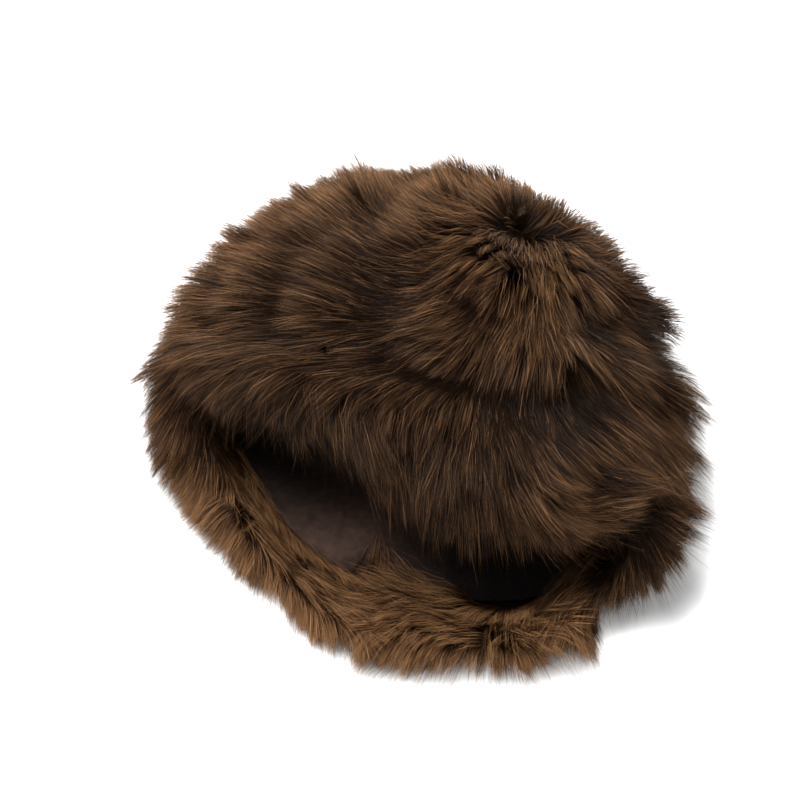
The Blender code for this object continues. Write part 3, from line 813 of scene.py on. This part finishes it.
def hair_material():
    """The finish of a hair: its colour along it, with painted shade at the root and painted light at the tip on top
    of its own colour, and a soft broken gloss.
    """
    material = bpy.data.materials.new("fur_hair")
    material.use_nodes = True
    tree = material.node_tree
    shader = tree.nodes["Principled BSDF"]
    colour = place_group(tree, fur_colour, Tone=read_attribute(tree, "tone"), Tip=read_attribute(tree, "tip"))
    tree.links.new(colour.outputs["Colour"], shader.inputs["Base Color"])
    shader.inputs["Roughness"].default_value = 0.5
    shader.inputs["Specular IOR Level"].default_value = 0.04
    return material


fur_hair = hair_material()
print("made the", fur_colour.name, "group and the", fur_hair.name, "material")

# %% [markdown]
# ## The underfur
# Between the long hairs one looks into short dense wool. It stops light from reaching the backing, so each
# panel gets a sheet of it, a little below the coat, softly bumpy and very dark: its colour is the hair's root
# colour, partly the wool's own and partly painted shade deep in the fur. Neighbouring sheets share
# their edge points, so no gap opens at a seam.

# %% Make the underfur
UNDERFUR_DEPTH = 0.012
LINING_SINK = 0.0055
# A low tip picks the dark root colour, which is partly painted shade.
UNDERFUR_TONE = 0.30
UNDERFUR_TIP = 0.12
FELT_SCALE = 900.0


def underfur_material():
    """Dark wool: the root colour of the hair, partly painted shade, with a fine felted bump."""
    material = bpy.data.materials.new("fur_underwool")
    material.use_nodes = True
    tree = material.node_tree
    shader = tree.nodes["Principled BSDF"]
    colour = place_group(tree, fur_colour, Tone=read_attribute(tree, "tone"), Tip=read_attribute(tree, "tip"))
    noise = tree.nodes.new("ShaderNodeTexNoise")
    noise.inputs["Scale"].default_value = FELT_SCALE
    bump = tree.nodes.new("ShaderNodeBump")
    bump.inputs["Distance"].default_value = 0.0008
    tree.links.new(noise.outputs["Fac"], bump.inputs["Height"])
    tree.links.new(bump.outputs["Normal"], shader.inputs["Normal"])
    tree.links.new(colour.outputs["Colour"], shader.inputs["Base Color"])
    shader.inputs["Roughness"].default_value = 1.0
    shader.inputs["Specular IOR Level"].default_value = 0.0
    return material


def underfur_points():
    """The coat's points moved inwards, hardly where the hat is pressed on the floor, and behind the lining."""
    depths = np.minimum(UNDERFUR_DEPTH * clip_shares(coat.openness), coat.thickness * THIN_SHARE)
    depths *= np.clip((1.0 + coat.normals[:, 2]) / (1.0 + UNDER_FACING), 0.05, 1.0)
    under_lining = gaps.argmin(axis=0) == names.index("lining")
    depths = spread(np.where(under_lining, LINING_SINK, depths), edges)
    sunk = coat.points - coat.normals * depths[:, None]
    sunk[:, 2] = np.maximum(sunk[:, 2], FLOOR_CLEARANCE)
    return sunk


def make_underfur(node, points, material):
    """A panel's part of the sunken coat as a sheet."""
    own = coat.triangles[skin_owners == FUR_PANELS.index(node)]
    used, faces = np.unique(own, return_inverse=True)
    mesh = bpy.data.meshes.new(node + "_underfur")
    mesh.from_pydata(points[used].tolist(), [], faces.reshape(-1, 3).tolist())
    store_shades(mesh, np.full(len(used), UNDERFUR_TONE), np.full(len(used), UNDERFUR_TIP))
    mesh.shade_smooth()
    mesh.materials.append(material)
    piece = bpy.data.objects.new(mesh.name, mesh)
    bpy.context.scene.collection.objects.link(piece)
    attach(piece, "root")
    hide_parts(node)
    return piece


underwool = underfur_material()
sunken = underfur_points()
for name in FUR_PANELS:
    sheet = make_underfur(name, sunken, underwool)
    print(sheet.name, len(sheet.data.polygons), "faces")

# %% [markdown]
# ## Grow the coat
# Now each panel gets its hair. The panels that face the camera get the most strands. About one hair in
# eight is a guard hair, longer, finer and freer than the rest: these make the wispy outline.

# %% Grow each panel's hair
ALL_STRANDS = 184000
MOST_STRANDS = 39500
GUARD_SHARE = 0.12
GUARD_LENGTH = 1.42
GUARD_WIDTH = 0.55
GUARD_PULL = 0.25
SHORTEST = 0.62
LONGEST = 1.08
LENGTH_TONE = 0.6
WISP_TONE = 0.07
HAIR_TONE = 0.32
TONE_CONTRAST = 1.35
TONE_MIDDLE = 0.42
TONE_POWER = 1.8
SEED = 7


def grow_panel(node, count, material, random):
    """All the hair of one panel as one mesh."""
    roots = scatter_roots(node, count, random)
    points = roots.points - roots.normals * roots.depths[:, None]
    ways, traits = comb_at(roots.points, roots.normals)

    locks = spaced(points, LOCK_SPACING, random)
    wisps = spaced(points, WISP_SPACING, random)
    lock_sway = random.normal(0.0, LOCK_SWAY, len(locks))
    wisp_sway = random.normal(0.0, WISP_SWAY, len(wisps))
    hair_sway = random.normal(0.0, HAIR_SWAY, count)
    lock_size = random.uniform(0.86, 1.12, len(locks))
    wisp_size = random.uniform(0.85, 1.12, len(wisps))

    def paths_of(chosen, sway, size):
        """The free paths of some of the hairs."""
        own_ways = turned(ways[chosen], roots.normals[chosen], sway)
        lengths = HAIR_LENGTH * traits[chosen, 1] * roots.clips[chosen] * size
        return hair_paths(points[chosen], roots.normals[chosen], own_ways, traits[chosen], lengths)

    lock_paths = paths_of(locks, lock_sway, lock_size)
    lock_pull = random.uniform(0.6, 1.2, len(locks)) * LOCK_PULL
    wisp_paths = paths_of(wisps, wisp_sway, wisp_size)
    wisp_paths, wisp_lock = pull_to_leaders(wisp_paths, lock_paths, points[locks], points[wisps], lock_pull)

    everyone = np.arange(count)
    sizes = random.uniform(SHORTEST, LONGEST, count)
    # Shorter hairs lie lower in the coat and get a darker tone: painted shade of the under layer.
    tone_of_size = LENGTH_TONE * (sizes - (SHORTEST + LONGEST) / 2.0)
    guards = random.random(count) < GUARD_SHARE
    sizes[guards] *= GUARD_LENGTH
    paths = paths_of(everyone, hair_sway, sizes)
    wisp_pull = random.uniform(0.75, 1.2, len(wisps)) * WISP_PULL
    gathered, hair_wisp = pull_to_leaders(paths, wisp_paths, points[wisps], points, wisp_pull)
    free = paths * (1.0 - GUARD_PULL) + gathered * GUARD_PULL
    gathered[guards] = free[guards]
    gathered = trimmed(gathered)
    gathered[:, :, 2] = np.maximum(gathered[:, :, 2], FLOOR_CLEARANCE)

    wisp_tone = random.normal(0.0, WISP_TONE, len(wisps))[hair_wisp]
    hair_tone = random.normal(0.0, HAIR_TONE, count)
    combed_tone = TONE_MIDDLE + TONE_CONTRAST * (traits[:, 2] - TONE_MIDDLE)
    tones = np.clip(combed_tone + tone_of_size + wisp_tone + hair_tone, 0.02, 0.98) ** TONE_POWER
    widths = STRAND_WIDTH * random.uniform(0.75, 1.15, count)
    widths[guards] *= GUARD_WIDTH

    mesh = strand_mesh(node + "_hair", gathered, roots.normals, widths, tones, random)
    mesh.materials.append(material)
    piece = bpy.data.objects.new(mesh.name, mesh)
    bpy.context.scene.collection.objects.link(piece)
    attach(piece, "root")
    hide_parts(node)
    print(node, count, "strands,", len(locks), "locks,", len(wisps), "wisps")
    return piece


needs = np.array([panel_weights(name).sum() for name in FUR_PANELS])
counts = np.minimum(ALL_STRANDS * needs / needs.sum(), MOST_STRANDS).astype(int)
for order, (name, count) in enumerate(zip(FUR_PANELS, counts)):
    grow_panel(name, int(count), fur_hair, np.random.default_rng(SEED + order))

# %% [markdown]
# ## The lining
# Inside the opening the hat has a soft lining with a very short nap. It shows as a smooth dark patch with
# a pale sheen where it turns to the light. The shader gives it a little sheen, and a pale patch of painted light
# is laid into its colour where it turns to the light; away from that patch its colour is darker, partly its own
# and partly painted shade in the hollow. Its form comes from the loaded bag, subdivided so that it
# bends softly, with shallow creases pressed into it.

# %% Make the lining
# The dark colour is partly the lining's own and partly painted shade in the hollow; the pale one is a painted
# highlight, laid round the spot that the camera sees at the given pixel.
LINING_DARK = (0.0060, 0.0033, 0.0024)
LINING_PAINTED_LIGHT = (0.068, 0.0375, 0.0280)
PAINTED_LIGHT_PIXEL_X = 335.0
PAINTED_LIGHT_PIXEL_Y = 535.0
PAINTED_LIGHT_REACH = 0.028
MOTTLE_SCALE = 220.0
MOTTLE_DARK = 0.12
CREASE_HEIGHT = 0.0012
CREASE_SIZE = 0.030


def lining_material():
    """A short dark nap, with a sheen that lightens it at grazing angles, and a painted highlight mixed into its
    colour round one spot.
    """
    material = bpy.data.materials.new("lining_nap")
    material.use_nodes = True
    tree = material.node_tree
    shader = tree.nodes["Principled BSDF"]
    place = tree.nodes.new("ShaderNodeTexCoord").outputs["Object"]
    nap = tree.nodes.new("ShaderNodeTexNoise")
    nap.inputs["Scale"].default_value = 1500.0
    tree.links.new(place, nap.inputs["Vector"])
    mottle = tree.nodes.new("ShaderNodeTexNoise")
    mottle.inputs["Scale"].default_value = MOTTLE_SCALE
    mottle.inputs["Detail"].default_value = 4.0
    tree.links.new(place, mottle.inputs["Vector"])
    dark = tuple(MOTTLE_DARK * part for part in LINING_DARK)
    painted_light = tuple(MOTTLE_DARK * part for part in LINING_PAINTED_LIGHT)
    # Painted highlight: the stored weight mixes the pale colour in round the lit spot.
    low = mix_colours(tree, read_attribute(tree, "painted_light"), dark, painted_light)
    high = mix_colours(tree, read_attribute(tree, "painted_light"), LINING_DARK, LINING_PAINTED_LIGHT)
    colour = mix_colours(tree, mottle.outputs["Fac"], low, high)
    bump = tree.nodes.new("ShaderNodeBump")
    bump.inputs["Distance"].default_value = 0.0004
    tree.links.new(nap.outputs["Fac"], bump.inputs["Height"])
    tree.links.new(bump.outputs["Normal"], shader.inputs["Normal"])
    tree.links.new(colour, shader.inputs["Base Color"])
    shader.inputs["Roughness"].default_value = 0.7
    shader.inputs["Specular IOR Level"].default_value = 0.1
    shader.inputs["Sheen Weight"].default_value = 0.12
    shader.inputs["Sheen Roughness"].default_value = 0.4
    shader.inputs["Sheen Tint"].default_value = (0.60, 0.42, 0.34, 1.0)
    return material


def make_lining():
    """The bag's wall with soft creases, inside and out alike so that it keeps its thickness, with a weight on its
    points for the painted highlight.
    """
    bm = bmesh.new()
    bm.from_mesh(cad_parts["lining"].data)
    bmesh.ops.remove_doubles(bm, verts=bm.verts[:], dist=WELD)
    bmesh.ops.subdivide_edges(bm, edges=bm.edges[:], cuts=2, use_grid_fill=True)
    bmesh.ops.triangulate(bm, faces=bm.faces[:])
    painted_light_place = surface_under_pixel(PAINTED_LIGHT_PIXEL_X, PAINTED_LIGHT_PIXEL_Y)[0]
    painted_light = []
    for vertex in bm.verts:
        x, y, z = (part / CREASE_SIZE for part in vertex.co)
        wave = math.sin(2.0 * x + 1.3 * math.sin(1.1 * y) + z) * math.sin(1.7 * y - 0.8 * math.sin(1.4 * x))
        # Painted highlight: strongest at the lit spot, fading with distance, rising and falling along the creases.
        distance = (vertex.co - painted_light_place).length / PAINTED_LIGHT_REACH
        painted_light.append(math.exp(-0.5 * distance * distance) * (1.0 + 0.5 * wave))
        vertex.co.z += CREASE_HEIGHT * wave
    mesh = bpy.data.meshes.new("lining_bag")
    bm.to_mesh(mesh)
    bm.free()
    mesh.attributes.new("painted_light", "FLOAT", "POINT").data.foreach_set("value", painted_light)
    mesh.shade_smooth()
    mesh.materials.append(lining_material())
    piece = bpy.data.objects.new(mesh.name, mesh)
    bpy.context.scene.collection.objects.link(piece)
    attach(piece, "root")
    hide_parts("lining")
    return piece


lining = make_lining()
print("lining of", len(lining.data.polygons), "faces")

# %% [markdown]
# ## Measure and finish
# We print how far the dressed hat stands proud of the form that we loaded, at each end of each axis.

# %% Print how far the hat stands proud
shown_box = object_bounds()
for low, high, size in zip(cad_box[0] - shown_box[0], shown_box[1] - cad_box[1], cad_box[1] - cad_box[0]):
    print("proud by", round(low * 1000, 1), "and", round(high * 1000, 1), "mm of", round(size * 1000, 1))
